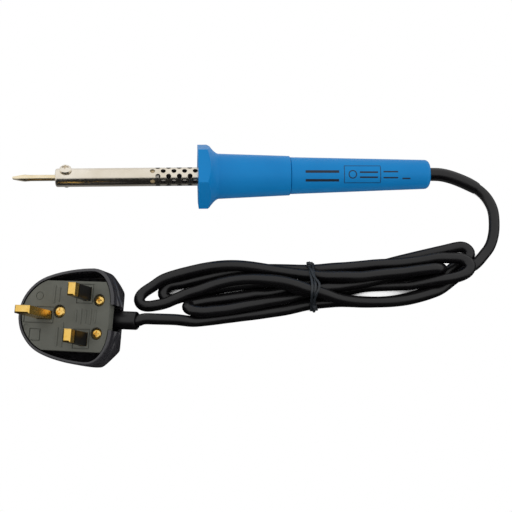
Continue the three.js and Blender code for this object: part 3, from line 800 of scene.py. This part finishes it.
def handle_front():
    """The grip: a round body that flares by a hollow curve into a six-sided guard."""
    flare = []
    for step in range(25):
        rise = math.sin(math.radians(step * 3.75))
        flare.append((98 + 6.5 * rise, 11.6 + 6.97 * (1 - rise) ** 1.6))
    form = lathe([
        (94, 5.11), (94, 18.57), *flare, (140.9, 10.16), (141.2, 9.9), (141.2, 8.3),
        (106, 8.3), (106, 5.11), (94, 5.11),
    ], 144)
    for side in range(6):
        outward = Vector((0, math.sin(math.radians(60 * side)), math.cos(math.radians(60 * side))))
        sliced(form, outward * GUARD_FLAT, outward)

    def on_guard(edge):
        return all(vert.co.x < 103 and vert.co.yz.length > 9 for vert in edge.verts)

    return softened(form, 0.3, 2, 24, on_guard)


def handle_rear():
    """The tapering shell behind the grip, with a rounded tail that the flex leaves by."""
    tail = []
    for step in range(9):
        angle = math.radians(step * 11.25)
        tail.append((211.7 + 2.5 * math.sin(angle), 5.06 + 2.5 * math.cos(angle)))
    return lathe([
        (108.3, 6.9), (108.3, 7.9), (141.4, 7.9), (141.4, 9.3), (141.65, SHELL_WIDE), *tail,
        (TAIL, 4.1), (213.9, 3.75), (200, 3.75), (200, 5.3), (170, 6.9), (108.3, 6.9),
    ], 128)


def on_handle(along, across, long, wide):
    """A flat patch for the rear shell: so far along it, and so far round it from the top."""
    form = bmesh.new()
    bmesh.ops.create_grid(form, x_segments=6, y_segments=6, size=0.5)
    bmesh.ops.scale(form, vec=(long, wide, 1), verts=form.verts)
    bmesh.ops.translate(form, vec=(along, across, 0), verts=form.verts)
    return form


def wrapped_on_handle(form):
    """Lays flat patches round the tapering shell, a little proud of it, and gives them a thickness."""
    for vert in form.verts:
        radius = SHELL_WIDE + (SHELL_NARROW - SHELL_WIDE) * (vert.co.x - SHELL_START) / SHELL_LENGTH
        angle = vert.co.y / radius
        proud = radius + 0.02
        vert.co = (vert.co.x, proud * math.sin(angle), proud * math.cos(angle))
    bmesh.ops.solidify(form, geom=form.faces[:], thickness=-0.03)
    return form


def ring_patch(along, across, inner, outer):
    """A flat ring for the rear shell."""
    form = bmesh.new()
    bmesh.ops.create_circle(form, segments=40, radius=outer)
    edges = bmesh.ops.extrude_edge_only(form, edges=form.edges[:])["geom"]
    inside = [part for part in edges if isinstance(part, bmesh.types.BMVert)]
    bmesh.ops.scale(form, vec=(inner / outer, inner / outer, 1), verts=inside)
    bmesh.ops.translate(form, vec=(along, across, 0), verts=form.verts)
    return form


def print_marks():
    """Plain bars, a frame and a ring stand where such a handle carries its print."""
    marks = [
        on_handle(157.2, -1.3, 17.3, 1.3), on_handle(157.2, -5.8, 17.3, 1.3),
        on_handle(178, 1.9, 19, 0.3), on_handle(178, -7.2, 19, 0.3),
        on_handle(168.6, -2.65, 0.3, 8.6), on_handle(187.4, -2.65, 0.3, 8.6),
        ring_patch(172.9, -2.7, 1.7, 2.2), on_handle(181.3, -1.6, 9.4, 0.8), on_handle(181.3, -4.2, 9.4, 0.8),
        on_handle(192.7, -1.3, 7.6, 0.7), on_handle(192.7, -4.4, 7.6, 0.7), on_handle(200.9, -4.8, 4.2, 0.7),
    ]
    return wrapped_on_handle(joined(*marks))


# ---------------------------------------------------------------- bend relief and tie

SLEEVE_RADIUS = 3.42
SLEEVE_FROM = 7.2
SLEEVE_TO = 51.8
TIE_AT = 43.2


def bend_relief(route):
    """The long soft sleeve on the flex's first part, thinned at its free end."""
    run = np.r_[0, np.cumsum(np.linalg.norm(np.diff(route, axis=0), axis=1))]
    covered = route[(run > SLEEVE_FROM) & (run < SLEEVE_TO)]
    shares = np.ones(len(covered))
    shares[-6:] = (0.995, 0.985, 0.97, 0.955, 0.935, 0.9)
    return moved(modified(curve_along("sleeve", covered, SLEEVE_RADIUS, shares)), Matrix.Scale(1 / MM, 4))


def around_hank(route, slack):
    """The outline that a strap pulled round the hank takes, as (y, z) points that run once round."""
    near = route[(np.abs(route[:, 0] - TIE_AT) < 2) & (route[:, 1] > -80)]
    circle = [(math.cos(angle), math.sin(angle)) for angle in np.linspace(0, math.tau, 32, endpoint=False)]
    reach = FLEX_RADIUS + slack
    dots = [Vector((y + reach * c, max(z + reach * s, 0.04))) for _, y, z in near for c, s in circle]
    hull = [dots[index] for index in convex_hull_2d(dots)]
    loop = np.array([[0, *dot] for dot in [*hull, hull[0]]])
    return resampled(loop, 0.8)[:-1, 1:]


def strap(outline, drift, width, thickness):
    """A flat strap along an outline; drift says how far it strays along the hank at each (y, z)."""
    form = bmesh.new()
    verts = [form.verts.new((TIE_AT + drift(y, z) - width / 2, y, z)) for y, z in outline]
    for first, second in zip(verts, [*verts[1:], verts[0]]):
        form.edges.new((first, second))
    grown = bmesh.ops.extrude_edge_only(form, edges=form.edges[:])["geom"]
    far = [part for part in grown if isinstance(part, bmesh.types.BMVert)]
    bmesh.ops.translate(form, vec=(width, 0, 0), verts=far)
    bmesh.ops.recalc_face_normals(form, faces=form.faces)
    centre = Vector((TIE_AT, *np.mean(outline, axis=0)))
    face = form.faces[0]
    if face.normal.dot(face.calc_center_median() - centre) < 0:
        bmesh.ops.reverse_faces(form, faces=form.faces)
    bmesh.ops.solidify(form, geom=form.faces[:], thickness=-thickness)
    bmesh.ops.recalc_face_normals(form, faces=form.faces)
    softened(form, thickness * 0.3, 2, 50)
    for vert in form.verts:
        vert.co.z = max(vert.co.z, 0.02)
    return form


def swell(value, middle, reach):
    """One at the middle, easing to nothing at the reach on either side."""
    share = min(abs(value - middle) / reach, 1)
    return 0.5 + 0.5 * math.cos(share * math.pi)


def twist(start, end, turns=1.5):
    """Two wire ends twisted round each other."""
    start, end = Vector(start), Vector(end)
    along = (end - start).normalized()
    side = along.cross(Vector((0, 0, 1))).normalized()
    up = side.cross(along)
    strands = []
    for phase in (0, math.pi):
        line = []
        for share in np.linspace(0, 1, 24):
            angle = phase + share * turns * math.tau
            line.append(start.lerp(end, share) + 0.6 * (side * math.cos(angle) + up * math.sin(angle)))
        thinned = [1 - 0.25 * share**4 for share in np.linspace(0, 1, 24)]
        curve = curve_along("strand", [tuple(dot) for dot in line], 0.62, thinned)
        strands.append(moved(modified(curve), Matrix.Scale(1 / MM, 4)))
    return joined(*strands)


def tie(route):
    """Two turns of wire side by side, a third that strays across them, and its two twisted ends."""
    snug = around_hank(route, 0.06)
    turns = [
        strap(snug, lambda y, z, side=side: side + 0.25 * math.sin(y * 0.4), 1.32, 0.7)
        for side in (-0.8, 0.8)
    ]

    def stray(y, z):
        over = 1 if z > 4 else 0
        return over * (2.9 * swell(y, -60.5, 7.5) - 1.9 * swell(y, -46.5, 7)) + (1 - over) * 0.4

    third = strap(around_hank(route, 0.8), stray, 1.2, 0.65)
    bottom = twist((TIE_AT + 0.4, -68.3, 8.2), (TIE_AT + 1.2, -70.6, 6.8))
    top = twist((TIE_AT - 0.9, -47.6, 9.4), (TIE_AT - 1.7, -46.2, 8.8), 0.6)
    return joined(*turns, third, bottom, top)


# ---------------------------------------------------------------- plug


def egg(inset=0.0):
    """The plug's outline as (x, y) points that run once round, drawn in by an inset."""
    half = [
        ((14.7, 0), (14.7, 3), (14.7, 5), (14.7, 8)),
        ((14.7, 8), (14, 16.5), (9.5, 24.1), (2, 24.1)),
        ((2, 24.1), (-8, 23.9), (-21.5, 21.2), (-27.5, 17)),
        ((-27.5, 17), (-33, 13), (-36.9, 7), (-36.9, 0)),
    ]
    upper = []
    for part in half:
        upper += [tuple(dot)[:2] for dot in interpolate_bezier(*[Vector((*dot, 0)) for dot in part], 17)[:-1]]
    lower = [(x, -y) for x, y in upper[1:]]
    dots = np.array([*upper, (-36.9, 0), *lower[::-1]])
    tangent = np.roll(dots, -1, axis=0) - np.roll(dots, 1, axis=0)
    inward = np.c_[-tangent[:, 1], tangent[:, 0]] / np.linalg.norm(tangent, axis=1)[:, None]
    return dots + inward * inset


def lofted(levels):
    """A closed body through the plug's outline at several heights.

    Each level is a height, how far the outline is drawn in there, and how far each point is shifted.
    """
    form = bmesh.new()
    height, inset, extra = levels[0]
    verts = [form.verts.new((*dot, height)) for dot in egg(inset) + extra]
    edges = [form.edges.new(pair) for pair in zip(verts, [*verts[1:], verts[0]])]
    form.faces.new(verts)
    for height, inset, extra in levels[1:]:
        grown = bmesh.ops.extrude_edge_only(form, edges=edges)["geom"]
        edges = [part for part in grown if isinstance(part, bmesh.types.BMEdge) and part.is_boundary]
        verts = [part for part in grown if isinstance(part, bmesh.types.BMVert)]
        for vert, dot in zip(verts, egg(inset) + extra):
            vert.co = (*dot, height)
    form.faces.new(verts)
    bmesh.ops.recalc_face_normals(form, faces=form.faces)
    return form


def plug_body(inset, top, ribbed=False):
    """The outline drawn down, straight at first, then rounding in towards the back.

    The end that the flex leaves by bulges below the rim, leans, and has its two corners taken off.
    """
    flex_end = np.clip((egg()[:, 0] - 6) / 6, 0, 1)
    flex_end = flex_end * flex_end * (3 - 2 * flex_end)

    def reach(height):
        """How far the flex end stands out at a height: a bulge, less two grooves where it is ribbed."""
        depth = max(swell(height, -5.2, 1.1), swell(height, -9.4, 1.1)) if ribbed else 0
        share = min(max((-2 - height) / 8, 0), 1)
        bulge = np.clip(1.6 - 0.0225 * egg()[:, 1] ** 2, -1.2, 1.6) * share * share * (3 - 2 * share)
        return np.c_[(bulge - 1.4 * depth) * flex_end, 0 * flex_end]

    heights = [top, *np.arange(-0.5, -12, -0.35), -12]
    levels = [(height, inset, reach(height)) for height in heights]
    for step in range(1, 15):
        angle = math.radians(90 - step * 90 / 14)
        levels.append((-12 - 18 * math.cos(angle), inset + 9 * (1 - math.sin(angle)), reach(-20)))
    form = lofted(levels)
    lean = math.radians(24)
    sliced(form, (16.3 - inset * 1.2, 0, -9), (math.cos(lean), 0, -math.sin(lean)))
    for side in (1, -1):
        outward = Vector((0.62, 0.68 * side, -0.39))
        sliced(form, outward * (25.2 - inset), outward)
    return form


def back_envelope(radius):
    """The crowned, sloping back is part of this wide cylinder, which just touches the table."""
    slope = math.radians(16.68)
    rise = 35.32
    cylinder = lathe([(-60, 0), (-60, radius), (60, radius), (60, 0)], 256)
    centre = (math.sin(slope) * rise, 0, math.cos(slope) * rise)
    return moved(cylinder, Matrix.Rotation(slope, 4, "Y"), Matrix.Translation(centre))


def plug_cover():
    """The moulded shell: a solid evened out and smoothed, then hollowed, bored and slotted for the boot."""
    shell = worked(plug_body(0.15, -0.15, ribbed=True), back_envelope(59.8), "INTERSECT")
    blank = as_object(shell)
    even = blank.modifiers.new("even", "REMESH")
    even.mode = "VOXEL"
    even.voxel_size = 0.42
    even.use_smooth_shade = True
    shell = modified(blank)
    for _ in range(14):
        bmesh.ops.smooth_vert(
            shell, verts=shell.verts, factor=0.5, use_axis_x=True, use_axis_y=True, use_axis_z=True,
        )
    hollow = worked(plug_body(1.7, 1), back_envelope(57.7), "INTERSECT")
    to_flex = (Matrix.Rotation(math.pi / 2, 4, "Y"), Matrix.Translation((0, 0, -FLEX_DEPTH)))
    hole = moved(rod(4.9, 4, 20), *to_flex)
    slot = box((8, -6.3, -11), (20, 6.3, 1))
    for tool in (hollow, hole, slot):
        shell = worked(shell, tool)
    return shell


def groove_bars(low, high, width=0.5, depth=0.5):
    """Tools for a groove that runs round a rectangle on the face plate: two bars along X, two along Y."""
    bottom = PLATE_TOP - depth
    pairs = []
    for span in ((high[0] - low[0], width), (width, high[1] - low[1])):
        near = box((*low, bottom), (low[0] + span[0], low[1] + span[1], 1))
        far = box((high[0] - span[0], high[1] - span[1], bottom), (*high, 1))
        pairs.append(joined(near, far))
    return pairs


PLATE_TOP = -0.5
PIN_SPREAD = 11.11
EARTH_BACK = 22.23


def plug_base():
    """The grey face plate, with sunk screws, grooves round the pins and low blank ribs for its lettering."""
    plate = lofted([(PLATE_TOP, 2.2, 0), (-3.7, 2.2, 0)])
    for side in (1, -1):
        sliced(plate, (0, side * 17.3, 0), (0, side, 0))
    softened(plate, 0.35, 2, 40, lambda edge: all(vert.co.z > -1 for vert in edge.verts))
    plate = worked(plate, box((11.2, -5.9, -6), (12.4, 5.9, -3.2)), "UNION")
    tools = [
        moved(rod(3.4, -2.5, 5), Matrix.Translation((-14.3, 2, 0))),
        *[moved(rod(3.1, -2.5, 5), Matrix.Translation((GRIP_SCREW_X, y, 0))) for y in (8.2, -8.2)],
        *[box((-2.2, y - 3.4, -6), (2.2, y + 3.4, 5)) for y in (PIN_SPREAD, -PIN_SPREAD)],
        box((-EARTH_BACK - 4.2, -2.2, -6), (-EARTH_BACK + 4.2, 2.2, 5)),
        *groove_bars((-5.6, PIN_SPREAD - 4.9), (3.4, PIN_SPREAD + 4.9)),
        *groove_bars((-5.6, -PIN_SPREAD - 4.9), (3.4, -PIN_SPREAD + 4.9)),
        *groove_bars((-33.4, -4.2), (-16.9, 4.2)),
        *groove_bars((-29.6, -13), (-23.4, -6.8)),
        moved(rod(1.5, -0.8, 5), Matrix.Translation((-31.6, -6.2, 0))),
        moved(
            ring(-0.3, 2, 1.7, 2.1), Matrix.Rotation(-math.pi / 2, 4, "Y"),
            Matrix.Translation((-25.6, 9.4, PLATE_TOP)),
        ),
    ]
    for tool in tools:
        plate = worked(plate, tool)
    ribs = [
        (-17.6, 10.5, 9), (-15, 10.5, 7), (-11.5, -9.5, 12), (-14.2, -10.6, 9),
        (-5, 0, 6), (-2.4, 0, 7.5), (0.2, 0, 6.5), (2.8, 0, 7.5), (5.4, 0, 6),
    ]
    for x, y, length in ribs:
        low, high = (x - 0.4, y - length / 2, PLATE_TOP - 0.2), (x + 0.4, y + length / 2, PLATE_TOP + 0.35)
        rib = box(low, high)
        plate = joined(plate, softened(rib, 0.08, 1))
    return plate


def plug_boot():
    """The short stiff sleeve through the cover's wall."""
    form = lathe([
        (10.9, 3), (10.9, 4.5), (21.9, 4.5), (22.35, 4.38), (22.62, 4.12), (22.7, 3.85), (22.7, 3), (10.9, 3),
    ], 64)
    return moved(form, Matrix.Translation((0, 0, -FLEX_DEPTH)))


# ---------------------------------------------------------------- put together

make_camera()
make_stage()

nylon = moulded_blue_nylon()
nickel = nickel_plated_steel()
steel = turned_steel()
brass = drawn_brass()
pvc = black_pvc()
ceramic = steatite()

route = flex_route()
flex = curve_along("flex", route, FLEX_RADIUS)
flex.data.materials.append(pvc)
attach(flex, BODY)
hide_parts("cord_lead", "cord_hank", "cord_to_plug")

sleeve = finished("bend_relief", bend_relief(route), IN_MM, pvc, ["cord_sleeve"], 50)
wire_tie = finished("wire_tie", tie(route), IN_MM, slate_tie_pvc(), ["cord_tie"], 50)
tube = finished("barrel_tube", barrel(), ON_IRON, nickel, ["barrel"])
darken_inside(tube)
finished("grip_with_guard", handle_front(), ON_IRON, nylon, ["handle_front"])
finished("rear_shell", handle_rear(), ON_IRON, nylon, ["handle_rear"])
finished("printed_marks", print_marks(), ON_IRON, pad_printed_ink())
cover = finished("plug_shell", plug_cover(), ON_PLUG, black_urea(), ["plug_cover"], 40)
face = finished("plug_face", plug_base(), ON_PLUG, grey_urea(), ["plug_base"], 30)
boot = finished("flex_boot", plug_boot(), ON_PLUG, pvc, ["plug_boot"])

chisel = finished("chisel_bit", bit(), ON_IRON, tinned_copper_bit(), ["bit"])
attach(chisel, "bit")

FINISHES = {
    "clamp_screw": nickel, "core_rivet": steel, "barrel_flange": steel, "earth_screw": steel,
    "heater_core": steel, "heater_lead_live": steel, "heater_lead_neutral": steel,
    "lead_crimp_live": steel, "lead_crimp_neutral": steel, "cord_ferrule": steel,
    "heater_winding": resistance_alloy(), "mica_wrap": split_mica(), "ceramic_bush": ceramic,
    "earth_tag": brass, "earth_pin": brass, "live_pin": brass, "neutral_pin": brass,
    "cover_screw": brass, "grip_screw_1": brass, "grip_screw_2": brass,
    "live_pin_sleeve": pvc, "neutral_pin_sleeve": pvc, "cord_grip": grey_urea(),
    "fuse_body": ceramic, "fuse_cap_1": nickel, "fuse_cap_2": nickel,
    "handle_wire_live": wire_pvc("brown_pvc", "#5d3519", "#74441f"),
    "handle_wire_neutral": wire_pvc("light_blue_pvc", "#3a78b8", "#4a8bc9"),
    "handle_wire_earth": wire_pvc("green_yellow_pvc", "#3f8f3a", "#d8c22e", 3.0),
}
for name, finish in FINISHES.items():
    node = frame["nodes"][name]
    node.data.materials.clear()
    node.data.materials.append(finish)
